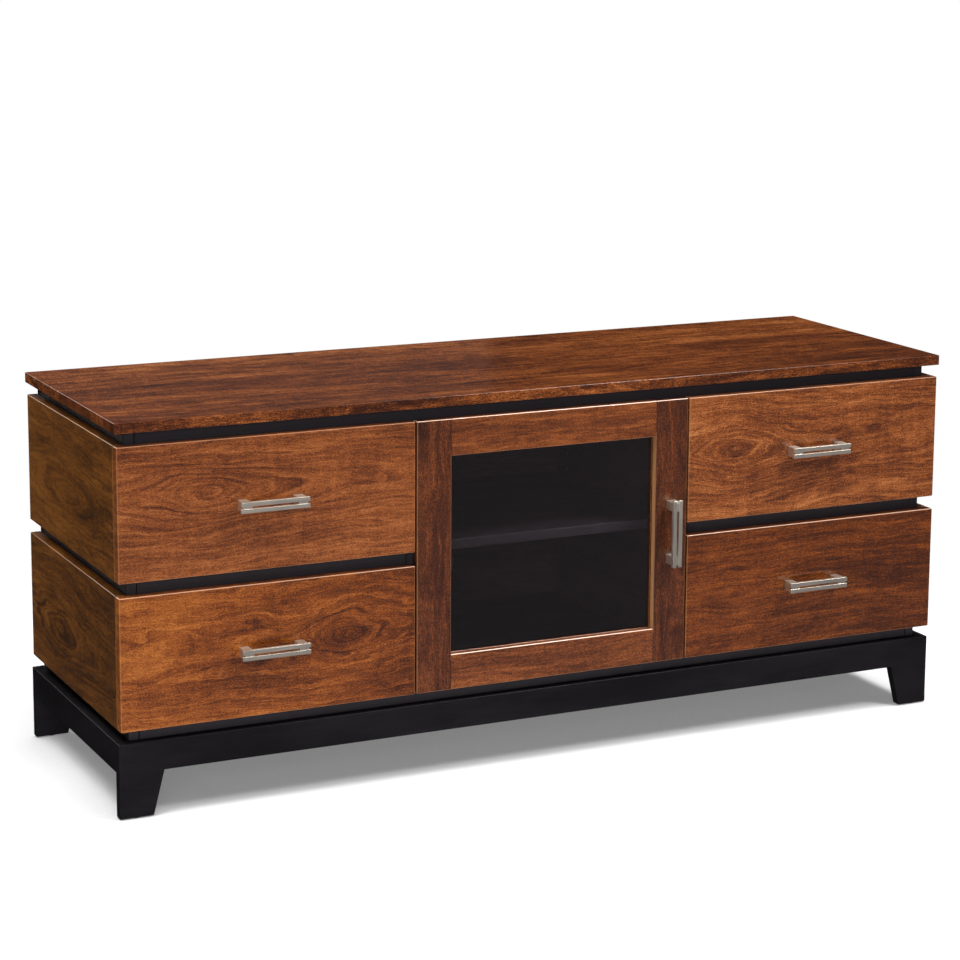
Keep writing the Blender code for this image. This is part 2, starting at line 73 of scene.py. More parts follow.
# ---------------------------------------------------------------- node trees
class Graph:
    """Short calls that build one material's node tree."""

    def __init__(self, name):
        self.material = bpy.data.materials.new(name)
        self.material.use_nodes = True
        self.tree = self.material.node_tree
        self.shader = self.tree.nodes["Principled BSDF"]

    def node(self, kind, **settings):
        made = self.tree.nodes.new("ShaderNode" + kind)
        for key, value in settings.items():
            setattr(made, key, value)
        return made

    def feed(self, socket, value):
        if isinstance(value, bpy.types.NodeSocket):
            self.tree.links.new(value, socket)
        else:
            socket.default_value = value

    def surface(self, name, value):
        """Feed one of the shader's own sockets."""
        self.feed(self.shader.inputs[name], value)

    def place(self):
        return self.node("TexCoord").outputs["Object"]

    def maths(self, operation, a, b=0.0, clamp=False):
        made = self.node("Math", operation=operation, use_clamp=clamp)
        self.feed(made.inputs[0], a)
        self.feed(made.inputs[1], b)
        return made.outputs[0]

    def add(self, a, b):
        return self.maths("ADD", a, b)

    def less(self, a, b):
        """a minus b."""
        return self.maths("SUBTRACT", a, b)

    def times(self, a, b):
        return self.maths("MULTIPLY", a, b)

    def vector(self, operation, a, b):
        made = self.node("VectorMath", operation=operation)
        self.feed(made.inputs[0], a)
        self.feed(made.inputs[1], b)
        return made.outputs[0]

    def noise(self, place, scales, detail=2.0, rough=0.5, twist=0.0):
        """Noise between 0 and 1, with its own number of grains in a metre along each axis."""
        made = self.node("TexNoise", noise_dimensions="3D")
        self.feed(made.inputs["Vector"], self.vector("MULTIPLY", place, scales))
        made.inputs["Scale"].default_value = 1.0
        made.inputs["Detail"].default_value = detail
        made.inputs["Roughness"].default_value = rough
        made.inputs["Distortion"].default_value = twist
        return made.outputs["Fac"]

    def between(self, value, low, high, to_low=0.0, to_high=1.0):
        """Value from low to high, mapped to run from to_low to to_high and held at both ends."""
        made = self.node("MapRange", clamp=True)
        self.feed(made.inputs["Value"], value)
        for socket, number in zip(SPAN_SOCKETS, (low, high, to_low, to_high)):
            made.inputs[socket].default_value = number
        return made.outputs["Result"]

    def ramp(self, factor, stops):
        made = self.node("ValToRGB")
        self.feed(made.inputs["Fac"], factor)
        points = made.color_ramp.elements
        for _ in stops[2:]:
            points.new(0.5)
        for point, (position, colour) in zip(points, stops):
            point.position = position
            point.color = (*colour, 1.0)
        return made.outputs["Color"]

    def mix(self, factor, a, b):
        made = self.node("Mix", data_type="RGBA")
        self.feed(made.inputs["Factor"], factor)
        for socket, value in (("A", a), ("B", b)):
            target = next(s for s in made.inputs if s.name == socket and s.type == "RGBA")
            self.feed(target, value if isinstance(value, bpy.types.NodeSocket) else (*value, 1.0))
        return next(s for s in made.outputs if s.type == "RGBA")

    def blended(self, parts):
        """0.5 plus each (strength, pattern) pair's strength times the pattern's distance from 0.5."""
        total = 0.5
        for strength, pattern in parts:
            total = self.add(total, self.times(self.less(pattern, 0.5), strength))
        return total

    def bump(self, height, distance, strength=1.0):
        made = self.node("Bump")
        made.inputs["Strength"].default_value = strength
        made.inputs["Distance"].default_value = distance
        self.feed(made.inputs["Height"], height)
        self.surface("Normal", made.outputs["Normal"])

    def facing(self):
        """The surface's direction as its x, y and z, in the object's own axes."""
        split = self.node("SeparateXYZ")
        self.feed(split.inputs[0], self.node("TexCoord").outputs["Normal"])
        return tuple(split.outputs)

    def arris(self):
        """0 on flat faces that look along an axis, rising to 1 on rounded edges."""
        x, y, z = (self.maths("ABSOLUTE", socket) for socket in self.facing())
        most = self.maths("MAXIMUM", self.maths("MAXIMUM", x, y), z)
        return self.between(most, 0.90, 0.995, 1.0, 0.0)

    def grain_space(self, axes, shift):
        """Object coordinates, plain and shifted: x along the grain, y across the face, z into the board."""
        split = self.node("SeparateXYZ")
        self.feed(split.inputs[0], self.place())
        joined = self.node("CombineXYZ")
        for socket, axis in zip(joined.inputs, axes):
            self.feed(socket, split.outputs["XYZ".index(axis)])
        return joined.outputs[0], self.vector("ADD", joined.outputs[0], shift)


# ---------------------------------------------------------------- materials
# Stains, from the darkest grain to the palest.
CHERRY = ((0.0, (0.024, 0.006, 0.0025)), (0.28, (0.078, 0.019, 0.0050)), (0.50, (0.185, 0.048, 0.0095)),
          (0.72, (0.300, 0.092, 0.022)), (1.0, (0.460, 0.185, 0.062)))
OLIVE = ((0.0, (0.026, 0.010, 0.002)), (0.28, (0.078, 0.027, 0.0035)), (0.50, (0.180, 0.061, 0.0065)),
         (0.72, (0.265, 0.096, 0.014)), (1.0, (0.370, 0.160, 0.040)))
AMBER = tuple((place, (0.97 * red, 0.86 * green, 0.42 * blue)) for place, (red, green, blue) in CHERRY)
BIRCH = ((0.0, (0.300, 0.180, 0.085)), (0.35, (0.520, 0.350, 0.190)), (0.50, (0.600, 0.420, 0.240)),
         (0.65, (0.660, 0.480, 0.290)), (1.0, (0.760, 0.600, 0.400)))

RING_REACH = 0.05          # length along the grain after which a ring runs straight
RING_BEND = 0.050          # sideways sway of the ring figure
BARE_EDGE_AND_HIGHLIGHT = (0.60, 0.33, 0.17)          # wood under rubbed-off stain, also standing as a painted highlight on rounded edges
PAINTED_CHEEK_SHEEN = (0.42, 0.21, 0.085)         # painted sheen on the upright faces that look one way
PAINTED_TOP_EDGE_HIGHLIGHT = (0.95, 0.66, 0.50)         # painted highlight on an edge that looks up


def split_strips(g, across, moved, width):
    """Shift the grain from strip to strip of a glued-up board, and give each strip its own tone."""
    index = g.maths("FLOOR", g.add(g.maths("DIVIDE", across, width), 0.37))
    apart = g.node("CombineXYZ")
    for socket, step in zip(apart.inputs, (5.3, 1.7, 2.9)):
        g.feed(socket, g.times(index, step))
    tone = g.maths("FRACT", g.times(g.maths("SINE", g.times(index, 12.9898)), 437.58))
    return g.vector("ADD", moved, apart.outputs[0]), tone


def heart_distance(g, place, moved, eye, oval, face):
    """Distance from the heart that the rings close round, which lies at `eye` on the board's face."""
    bend = g.noise(moved, (2.6, 7.0, 7.0), 2.0)
    along = g.times(g.less(place[0], eye[0]), oval / RING_REACH)
    stretch = g.maths("SQRT", g.add(g.times(along, along), 1.0))
    along = g.times(g.maths("DIVIDE", along, stretch), RING_REACH)
    across = g.add(g.less(place[1], eye[1]), g.times(g.less(bend, 0.5), RING_BEND))
    depth = g.times(g.less(place[2], face), 0.6)
    squares = g.add(g.times(across, across), g.times(depth, depth))
    return g.maths("SQRT", g.add(g.times(along, along), squares))


def ring_lines(g, moved, radius, wavy, rings):
    """Dark lines at the rings' outer sides, in patches and strongest near the heart."""
    near = g.between(radius, 0.03, 0.13, 1.0, 0.15)
    saw = g.maths("FRACT", g.times(wavy, rings))
    late = g.times(g.maths("POWER", saw, 2.2), g.between(saw, 0.78, 1.0, 1.0, 0.0))
    patchy = g.between(g.noise(moved, (8.0, 22.0, 22.0), 2.0), 0.38, 0.62, 0.35, 1.0)
    return g.times(late, g.times(near, patchy))


def edge_tones(g, colour, palest, wear_and_highlight, top_edge_highlight, cheek_sheen):
    """Lighten the rounded edges towards bare wood as wear and a painted highlight, paint a brighter highlight
    on those that look up, and a painted sheen on one side's faces.
    """
    sideways, _, upwards = g.facing()
    edge = g.arris()
    # painted sheen on the faces that look one way along X
    cheek_sheen_mask = g.between(g.times(sideways, math.copysign(1.0, cheek_sheen)), 0.90, 0.99, 0.0, abs(cheek_sheen))
    colour = g.mix(cheek_sheen_mask, colour, PAINTED_CHEEK_SHEEN)
    # rounded edges lightened: wear and a painted highlight
    worn_and_lit = tuple(0.5 * (stain + bare) for stain, bare in zip(palest, BARE_EDGE_AND_HIGHLIGHT))
    colour = g.mix(g.times(edge, wear_and_highlight), colour, worn_and_lit)
    # painted highlight on the rounded edges that look up, in the base colour
    top_highlight = g.times(edge, g.between(upwards, 0.15, 0.60, 0.0, top_edge_highlight))
    return g.mix(top_highlight, colour, PAINTED_TOP_EDGE_HIGHLIGHT)


def wood(name, axes, stops, seed, eye=(4.0, 0.3), oval=0.16, rings=90.0, swirl=0.016, face=0.0,
         contrast=1.0, figure=1.0, tone=0.5, lean=0.0, staves=0.0, gloss=0.33, coat=0.8,
         wear_and_highlight=0.30, top_edge_highlight=0.20, cheek_sheen=0.0):
    """Stained, lacquered wood.

    axes names the object's axes that run along the grain, across the face and into the board.
    eye is where along and across the board its rings close, face where its face lies on the
    third axis, oval how far the rings stretch along the grain, rings their number in a metre
    and swirl how much they waver.  contrast scales the grain and blotches, figure the ring
    lines, tone the board's lightness, and lean how it changes in a metre along the grain.
    staves is the width of the strips that the board is glued from.  rubbed tells how pale
    all the rounded edges are, as wear and a painted highlight, and crowned how strong the
    painted highlight is on those that look up.  cheeks paints a sheen on the faces
    that look towards +X, or towards -X where it is negative.
    """
    g = Graph(name)
    shift = Vector((seed * 3.17, seed * 1.31, seed * 0.73))
    joined, moved = g.grain_space(axes, shift)
    split = g.node("SeparateXYZ")
    g.feed(split.inputs[0], joined)
    place = split.outputs
    strip = 0.5
    if staves:
        moved, strip = split_strips(g, place[1], moved, staves)

    radius = heart_distance(g, place, moved, eye, oval, face)
    sway = g.noise(moved, (9.0, 32.0, 32.0), 3.0)
    wavy = g.add(radius, g.times(g.less(sway, 0.5), swirl))
    ringed = g.node("CombineXYZ")
    g.feed(ringed.inputs[0], g.add(place[0], shift.x))
    g.feed(ringed.inputs[1], wavy)
    g.feed(ringed.inputs[2], g.add(g.times(strip, 40.0), seed))
    ringed = ringed.outputs[0]

    fibre = g.noise(moved, (300.0, 620.0, 620.0), 2.0, 0.7)
    dash = g.noise(moved, (60.0, 420.0, 420.0), 2.0, 0.75)
    layers = (
        (1.40, fibre),
        (0.52, dash),
        (0.42, g.between(g.noise(ringed, (11.0, 240.0, 1.0), 3.0, 0.75), 0.30, 0.70)),
        (0.52, g.noise(ringed, (3.5, 62.0, 1.0), 2.0, 0.6)),
        (0.42, g.noise(moved, (7.0, 30.0, 30.0), 4.0, 0.62, 0.8)),
        (0.50, g.noise(moved, (2.4, 7.5, 7.5), 2.0)),
        (0.16, g.noise(moved, (85.0, 14.0, 14.0), 1.0)))
    total = g.blended([(weight * contrast, layer) for weight, layer in layers] + [(0.14, strip)])
    total = g.less(total, g.times(ring_lines(g, moved, radius, wavy, rings), 0.30 * figure))
    fleck = g.between(g.noise(moved, (17.0, 140.0, 140.0), 3.0, 0.7, 0.6), 0.61, 0.72)
    total = g.less(total, g.times(fleck, 0.17 * contrast))
    drift = g.times(g.less(place[0], eye[0]), lean)
    total = g.maths("ADD", g.add(total, drift), tone - 0.5 + 0.03, clamp=True)
    g.surface("Base Color", edge_tones(g, g.ramp(total, stops), stops[-1][1], wear_and_highlight, top_edge_highlight, cheek_sheen))
    g.surface("Roughness", g.between(dash, 0.2, 0.8, gloss - 0.04, gloss + 0.06))
    g.surface("Specular IOR Level", 0.20)
    g.surface("Coat Weight", coat)
    g.surface("Coat Roughness", 0.12)
    g.surface("Coat IOR", 1.42)
    g.bump(g.add(g.times(fibre, 0.6), g.times(dash, 0.5)), 0.00010, 0.30)
    return g.material


# painted sheen: a greyer tone on the faces of black boards that look to the front
FRONT_SHEEN_GREY = (0.036, 0.032, 0.037)


def black_lacquer(name, tint=(0.0048, 0.0042, 0.0050), gloss=0.36, axes="XZY", grain=0.5, shine=0.19,
                  front_sheen=False):
    """Black lacquered wood: open grain telegraphs faintly through the film.

    edged boards have a painted sheen, a greyer band along the edges that look to the front.
    """
    g = Graph(name)
    _, moved = g.grain_space(axes, Vector((0.7, 1.9, 0.4)))
    pores = g.noise(moved, (18.0, 420.0, 420.0), 2.0, 0.6)
    haze = g.noise(moved, (4.0, 14.0, 14.0), 3.0)
    lighter = tuple(channel * (1.0 + 2.2 * grain) for channel in tint)
    colour = g.mix(g.between(g.blended(((0.8, pores), (1.2, haze))), 0.3, 0.8), tint, lighter)
    if front_sheen:
        # painted sheen on the faces that look to the front
        front = g.between(g.facing()[1], -0.99, -0.90, 1.0, 0.0)
        colour = g.mix(front, colour, FRONT_SHEEN_GREY)
    g.surface("Base Color", colour)
    g.surface("Roughness", g.between(haze, 0.25, 0.75, gloss - 0.05, gloss + 0.06))
    g.surface("Specular IOR Level", shine)
    g.bump(pores, 0.00008, 0.4)
    return g.material


NICKEL = (0.94, 0.89, 0.76)


def brushed_nickel(along):
    """Nickel with fine brush lines along one axis."""
    g = Graph("brushed_nickel_" + along.lower())
    scales = [900.0, 900.0, 900.0]
    scales["XYZ".index(along)] = 18.0
    place = g.place()
    lines = g.noise(place, scales, 2.0, 0.6)
    smudge = g.noise(place, (30.0, 30.0, 30.0), 2.0)
    darker = tuple(channel * 0.78 for channel in NICKEL)
    g.surface("Base Color", g.mix(g.between(lines, 0.25, 0.75), darker, NICKEL))
    uneven = g.blended(((0.9, lines), (0.6, smudge)))
    g.surface("Roughness", g.between(uneven, 0.2, 0.8, 0.36, 0.50))
    g.surface("Metallic", 1.0)
    g.bump(lines, 0.00004, 0.3)
    return g.material


def zinc_plate(name):
    """Bright zinc: a faint spangle with scattered roughness."""
    g = Graph(name)
    place = g.place()
    spangle = g.noise(place, (70.0, 70.0, 70.0), 3.0, 0.6, 0.5)
    g.surface("Base Color", g.mix(spangle, (0.42, 0.44, 0.47), (0.60, 0.61, 0.63)))
    g.surface("Roughness", g.between(spangle, 0.2, 0.8, 0.28, 0.46))
    g.surface("Metallic", 1.0)
    g.bump(g.noise(place, (400.0, 400.0, 400.0), 1.0), 0.00004, 0.3)
    return g.material


def moulded_plastic(name):
    """Black plastic with a fine moulded texture."""
    g = Graph(name)
    place = g.place()
    soft = g.noise(place, (60.0, 60.0, 60.0), 2.0)
    g.surface("Base Color", g.mix(soft, (0.016, 0.016, 0.017), (0.024, 0.024, 0.0255)))
    g.surface("Roughness", g.between(soft, 0.3, 0.7, 0.46, 0.60))
    g.bump(g.noise(place, (1500.0, 1500.0, 1500.0), 2.0), 0.00006, 0.5)
    return g.material


def clear_glass(name):
    """Float glass that lets the lamps through, its tint uneven as if it had been wiped."""
    g = Graph(name)
    place = g.place()
    wipe = g.noise(place, (9.0, 9.0, 26.0), 3.0, 0.6, 1.2)
    g.surface("Base Color", g.mix(wipe, (0.86, 0.84, 0.85), (0.91, 0.89, 0.90)))
    g.surface("Roughness", 0.0)
    g.surface("IOR", 1.4)
    g.surface("Transmission Weight", 1.0)
    clear = g.node("BsdfTransparent")
    clear.inputs["Color"].default_value = (0.88, 0.86, 0.87, 1.0)
    through = g.node("MixShader")
    g.feed(through.inputs[0], g.node("LightPath").outputs["Is Shadow Ray"])
    g.feed(through.inputs[1], g.shader.outputs[0])
    g.feed(through.inputs[2], clear.outputs[0])
    g.feed(g.tree.nodes["Material Output"].inputs["Surface"], through.outputs[0])
    return g.material


# ---------------------------------------------------------------- shapes
def link_mesh(name, shape):
    """Object from a bmesh, which is used up."""
    mesh = bpy.data.meshes.new(name)
    shape.to_mesh(mesh)
    shape.free()
    made = bpy.data.objects.new(name, mesh)
    bpy.context.scene.collection.objects.link(made)
    return made


def piece(name, shape, material, body, stands_for=()):
    """Make an object from a bmesh in frame coordinates and give it to a body."""
    bmesh.ops.recalc_face_normals(shape, faces=shape.faces)
    made = link_mesh(name, shape)
    made.data.materials.append(material)
    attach(made, body)
    if stands_for:
        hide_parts(*stands_for)
    return made


SHARP = math.radians(40)   # an edge that turns by more is a corner


def shade(made):
    """Smooth shading with the corners kept sharp."""
    made.data.shade_smooth()
    made.data.set_sharp_from_angle(angle=SHARP)
    return made


def soften(made, width, segments=3, skip=lambda middle: False):
    """Round the outward corners, with flat faces kept flat in the shading.

    skip tells, from an edge's middle, which edges stay sharp.
    """
    shape = bmesh.new()
    shape.from_mesh(made.data)
    weight = shape.edges.layers.float.new("bevel_weight_edge")
    for edge in shape.edges:
        corner = edge.is_convex and edge.calc_face_angle() > SHARP
        edge[weight] = float(corner and not skip((edge.verts[0].co + edge.verts[1].co) / 2))
    shape.to_mesh(made.data)
    shape.free()
    bevel = shade(made).modifiers.new("edges", "BEVEL")
    bevel.width = width
    bevel.segments = segments
    bevel.limit_method = "WEIGHT"
    bevel.harden_normals = True
    return made


def cells(xs, ys, zs, filled=lambda i, j, k: True):
    """Closed skin round the filled cells of a grid."""
    shape = bmesh.new()
    corners = {}
    sizes = (len(xs) - 1, len(ys) - 1, len(zs) - 1)

    def corner(i, j, k):
        if (i, j, k) not in corners:
            corners[i, j, k] = shape.verts.new((xs[i], ys[j], zs[k]))
        return corners[i, j, k]

    def solid(index):
        return all(0 <= index[axis] < sizes[axis] for axis in range(3)) and filled(*index)

    def wall(cell, axis, step):
        """Cover the cell's side that looks down (0) or up (1) the axis."""
        across = [other for other in range(3) if other != axis]
        loop = []
        for first, second in ((0, 0), (1, 0), (1, 1), (0, 1)):
            at = list(cell)
            at[axis] += step
            at[across[0]] += first
            at[across[1]] += second
            loop.append(corner(*at))
        shape.faces.new(loop)

    for cell in itertools.product(*(range(size) for size in sizes)):
        for axis, step in itertools.product(range(3), (0, 1)):
            beside = list(cell)
            beside[axis] += 1 if step else -1
            if solid(cell) and not solid(beside):
                wall(cell, axis, step)
    return shape


def block(low, high):
    return cells(*zip(low, high))


def merged(shapes):
    """One bmesh from several."""
    whole = bmesh.new()
    for shape in shapes:
        mesh = bpy.data.meshes.new("part")
        shape.to_mesh(mesh)
        shape.free()
        whole.from_mesh(mesh)
        bpy.data.meshes.remove(mesh)
    return whole


AXES = {"X": Matrix.Rotation(math.pi / 2, 4, "Y"), "Y": Matrix.Rotation(-math.pi / 2, 4, "X"),
        "Z": Matrix.Identity(4)}


def lathe(profile, centre, axis, sides=32):
    """(radius, height) profile turned round `axis` through `centre`: a solid from pole to pole, or a ring."""
    shape = bmesh.new()
    rows = []
    for radius, height in profile:
        turns = [t * math.tau / sides for t in range(sides if radius else 1)]
        rows.append([shape.verts.new((radius * math.cos(turn), radius * math.sin(turn), height))
                     for turn in turns])
    closed = len(rows[0]) > 1
    pairs = list(zip(rows, rows[1:] + rows[:1])) if closed else list(zip(rows, rows[1:]))
    for below, above in pairs:
        for t in range(sides):
            u = (t + 1) % sides
            if len(below) == 1:
                shape.faces.new((below[0], above[u], above[t]))
            elif len(above) == 1:
                shape.faces.new((below[t], below[u], above[0]))
            else:
                shape.faces.new((below[t], below[u], above[u], above[t]))
    bmesh.ops.transform(shape, matrix=Matrix.Translation(centre) @ AXES[axis], verts=shape.verts)
    return shape


def bore(made, centres, radius, depth):
    """Cut round pockets into a piece, from the depth of each centre out through its back."""
    profile = [(0, 0), (radius, 0), (radius, depth), (0, depth)]
    cutter = merged([lathe(profile, centre, "Y", 48) for centre in centres])
    bmesh.ops.recalc_face_normals(cutter, faces=cutter.faces)
    tool = link_mesh("bore_tool", cutter)
    cut = made.modifiers.new("bore", "BOOLEAN")
    cut.operation = "DIFFERENCE"
    cut.solver = "EXACT"
    cut.object = tool
    bpy.context.view_layer.update()
    evaluated = made.evaluated_get(bpy.context.evaluated_depsgraph_get())
    bored = bpy.data.meshes.new_from_object(evaluated)
    made.modifiers.remove(cut)
    made.data = bored
    bpy.data.objects.remove(tool)


def prism(outline, y0, y1):
    """Outline of (x, z) points, extruded from y0 to y1."""
    shape = bmesh.new()
    face = shape.faces.new([shape.verts.new((x, y0, z)) for x, z in outline])
    grown = bmesh.ops.extrude_face_region(shape, geom=[face])
    moved = [item for item in grown["geom"] if isinstance(item, bmesh.types.BMVert)]
    bmesh.ops.translate(shape, verts=moved, vec=(0.0, y1 - y0, 0.0))
    return shape


def prism_x(outline, x0, x1):
    """Outline of (y, z) points, extruded from x0 to x1."""
    shape = prism(outline, x0, x1)
    for vert in shape.verts:
        vert.co.x, vert.co.y = vert.co.y, vert.co.x
    return shape


def screw_head(centre, axis, way, radius=0.0042, turn=0.4):
    """Pan head with a cross recess, its top towards `way` (+1 or -1) along `axis`."""
    rise = radius * 0.55
    head = lathe([(0, 0), (radius, 0), (radius, rise * 0.35), (radius * 0.82, rise * 0.8),
                  (radius * 0.45, rise), (0, rise)], (0, 0, 0), "Z", 20)
    arm = radius * 0.5
    bar = radius * 0.11
    lip = rise + 0.00008
    for spin in (turn, turn + math.pi / 2):
        mark = block((-arm, -bar, rise * 0.92), (arm, bar, lip))
        bmesh.ops.rotate(mark, verts=mark.verts, matrix=Matrix.Rotation(spin, 3, "Z"))
        head = merged([head, mark])
    flip = Matrix.Rotation(math.pi, 4, "X") if way < 0 else Matrix.Identity(4)
    bmesh.ops.transform(head, matrix=Matrix.Translation(centre) @ AXES[axis] @ flip, verts=head.verts)
    return head


# ---------------------------------------------------------------- camera, light and floor
def make_camera():
    """Camera fitted to points of the cabinet in the photo: a long lens, level but for a small dip."""
    camera = bpy.data.objects.new("camera", bpy.data.cameras.new("camera"))
    bpy.context.scene.collection.objects.link(camera)
    heading = math.radians(25.56)        # turned from +Y towards +X
    dip = math.radians(10.08)
    roll = math.radians(0.33)
    level = math.cos(dip)
    forward = Vector((math.sin(heading) * level, math.cos(heading) * level, -math.sin(dip)))
    camera.rotation_mode = "QUATERNION"
    camera.rotation_quaternion = forward.to_track_quat("-Z", "Y") @ Quaternion((0, 0, 1), roll)
    camera.location = (-2.170, -4.468, 1.578)
    camera.data.sensor_width = 36.0
    camera.data.lens = 101.15
    camera.data.shift_y = -0.1214
    camera.data.clip_start = 0.05
    bpy.context.scene.camera = camera


def area_light(name, place, target, size, power, colour=(1.0, 1.0, 1.0)):
    lamp = bpy.data.lights.new(name, "AREA")
    lamp.shape = "RECTANGLE"
    lamp.size, lamp.size_y = size
    lamp.energy = power
    lamp.color = colour
    made = bpy.data.objects.new(name, lamp)
    made.location = place
    made.rotation_mode = "QUATERNION"
    made.rotation_quaternion = (Vector(target) - Vector(place)).to_track_quat("-Z", "Y")
    made.visible_camera = False
    bpy.context.scene.collection.objects.link(made)


def make_light():
    """Softboxes, each from its place towards a target, with its size and power."""
    area_light("key_softbox", (1.5, -1.9, 3.0), (0.1, 0.0, 0.4), (0.8, 0.8), 82.0)
    area_light("front_softbox", (-2.4, -4.0, 1.5), (0.0, 0.0, 0.35), (2.0, 1.5), 78.0)
    area_light("top_softbox", (1.6, -0.75, 3.0), (0.2, -0.2, 0.2), (1.2, 0.8), 55.0)
    area_light("left_softbox", (-1.9, -0.6, 2.9), (-1.1, -0.3, 0.0), (1.2, 1.2), 80.0)
    area_light("rear_softbox", (-1.7, 3.3, 2.2), (0.0, 0.0, 0.4), (1.6, 1.2), 26.0)
    area_light("cool_strip", (0.9, 3.7, 1.45), (-0.3, 0.0, 0.6), (1.6, 0.7), 0.25, (0.72, 0.86, 1.0))
    bpy.context.scene.view_settings.view_transform = "Standard"


ROOM_TINT = (1.0, 0.88, 0.96, 1.0)
ROOM_DIM = 0.02
ROOM_GLOW = 0.23           # strength low down in front, which the upright faces mirror


def make_world():
    """White backdrop for the camera, and for the rest a dim room that glows low down in front."""
    world = bpy.data.worlds.new("studio")
    bpy.context.scene.world = world
    world.use_nodes = True
    tree = world.node_tree

    def faded(value, *span):
        made = tree.nodes.new("ShaderNodeMapRange")
        tree.links.new(value, made.inputs["Value"])
        for socket, number in zip(SPAN_SOCKETS, span):
            made.inputs[socket].default_value = number
        return made.outputs["Result"]

    split = tree.nodes.new("ShaderNodeSeparateXYZ")
    tree.links.new(tree.nodes.new("ShaderNodeTexCoord").outputs["Generated"], split.inputs[0])
    glow = tree.nodes.new("ShaderNodeMath")
    glow.operation = "MULTIPLY"
    tree.links.new(faded(split.outputs["Z"], -0.10, 0.05, 1.0, 0.0), glow.inputs[0])
    tree.links.new(faded(split.outputs["Y"], -0.60, -0.20, 1.0, 0.0), glow.inputs[1])
    room = tree.nodes["Background"]
    room.inputs["Color"].default_value = ROOM_TINT
    tree.links.new(faded(glow.outputs[0], 0.0, 1.0, ROOM_DIM, ROOM_GLOW), room.inputs["Strength"])
    white = tree.nodes.new("ShaderNodeBackground")
    white.inputs["Color"].default_value = (1.0, 1.0, 1.0, 1.0)
    blend = tree.nodes.new("ShaderNodeMixShader")
    tree.links.new(tree.nodes.new("ShaderNodeLightPath").outputs["Is Camera Ray"], blend.inputs[0])
    tree.links.new(room.outputs[0], blend.inputs[1])
    tree.links.new(white.outputs[0], blend.inputs[2])
    tree.links.new(blend.outputs[0], tree.nodes["World Output"].inputs["Surface"])


FLOOR_RADIUS = 2.6
FLOOR_FADE = (1.15, 2.0)   # the floor fades into the backdrop between these distances
FLOOR_SHADE = 0.21         # how near the cabinet has to be for the floor's painted shade


def make_floor():
    """Pale disc that fades out at its rim, with painted shade in its colour under and beside the cabinet."""
    shape = bmesh.new()
    bmesh.ops.create_circle(shape, cap_ends=True, segments=96, radius=FLOOR_RADIUS)
    g = Graph("pale_floor")
    place = g.place()
    # painted shade: the floor's colour darkens where the cabinet shuts off the open sky
    sky = g.node("AmbientOcclusion", samples=8)
    sky.inputs["Distance"].default_value = FLOOR_SHADE
    g.surface("Base Color", g.between(sky.outputs["AO"], 0.0, 0.85, 0.0, 0.95))
    uneven = g.noise(place, (3.0, 3.0, 3.0))
    g.surface("Roughness", g.between(uneven, 0.3, 0.7, 0.75, 0.85))
    g.surface("Emission Color", (1.0, 1.0, 1.0, 1.0))
    g.surface("Emission Strength", 0.20)
    reach = g.node("VectorMath", operation="LENGTH")
    g.feed(reach.inputs[0], place)
    g.surface("Alpha", g.between(reach.outputs["Value"], *FLOOR_FADE, 1.0, 0.0))
    floor = link_mesh("floor", shape)
    floor.data.materials.append(g.material)
    floor.visible_glossy = False
    floor.visible_transmission = False
    floor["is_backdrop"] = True


# ---------------------------------------------------------------- boards
def board(node, name, material, body, width=0.0012, segments=3):
    """Block in a node's place, with rounded edges."""
    made = piece(name, block(*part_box(node)), material, body, [node])
    return soften(made, width, segments)


def make_top():
    """One slab glued up from strips, with an eased edge."""
    finish = wood("top_cherry", "XYZ", CHERRY, 1.0, eye=(3.0, 0.35), oval=0.10, rings=50.0, contrast=1.15,
                  figure=0.7, tone=0.345, gloss=0.30, coat=0.3, staves=0.104, wear_and_highlight=0.0, top_edge_highlight=0.0)
    board("top_slab", "top_boards", finish, "cabinet", 0.0016, 4)


def make_skins():
    """Olive-brown boards on both ends, an upper and a lower one."""
    for word, side in SIDES.items():
        for number, level in enumerate(LEVELS):
            node = "side_skin_" + level + "_" + word
            low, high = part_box(node)
            finish = wood("cherry_" + node, "YZX", OLIVE, 2.3 + number + 2 * (side > 0),
                          eye=(0.10 - 0.06 * number, (low.z + high.z) / 2 - 0.02), oval=0.30, rings=85.0,
                          face=high.x if side > 0 else low.x, contrast=0.85, swirl=0.030,
                          figure=0.9 - 0.3 * number, tone=0.41 - 0.05 * (1 - number), lean=0.25,
                          wear_and_highlight=0.16, top_edge_highlight=0.06)
            board(node, level + "_side_board_" + word, finish, "cabinet", 0.0014)


# Each front's own stain and figure, and how strong the painted highlight is on its edges that look up.
FRONT_FIGURE = {
    "upper_left": dict(stops=CHERRY, seed=11.0, eye=(-0.655, 0.562), oval=0.27, rings=88.0,
                       figure=1.2, contrast=0.85, tone=0.49, top_edge_highlight=0.06),
    "lower_left": dict(stops=AMBER, seed=12.6, eye=(-0.40, 0.289), oval=0.50, rings=70.0, swirl=0.045,
                       figure=1.0, contrast=1.05, tone=0.41, lean=-0.40, top_edge_highlight=0.30),
    "upper_right": dict(stops=CHERRY, seed=14.1, eye=(0.377, 0.552), oval=0.45, rings=45.0, swirl=0.024,
                        figure=0.9, contrast=1.1, tone=0.53, lean=-0.15, top_edge_highlight=0.12),
    "lower_right": dict(stops=AMBER, seed=15.4, eye=(0.62, 0.10), oval=0.12, rings=50.0,
                        figure=0.5, contrast=0.8, tone=0.27, top_edge_highlight=0.45),
}


def make_drawer_front(tag):
    node = "drawer_front_" + tag
    finish = wood("cherry_" + tag, "XZY", face=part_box(node)[0].y, **FRONT_FIGURE[tag])
    board(node, "front_board_" + tag, finish, "drawer_" + tag, 0.0022, 4)


LEG_FOOT = 0.061           # width of a leg at the floor
LEG_SHOULDER = 0.081       # and where it meets the rail
GLIDE = 0.002              # height of the nail-on glide under a leg
CORNER_BLOCK = 0.045       # reach of a corner block along both boards


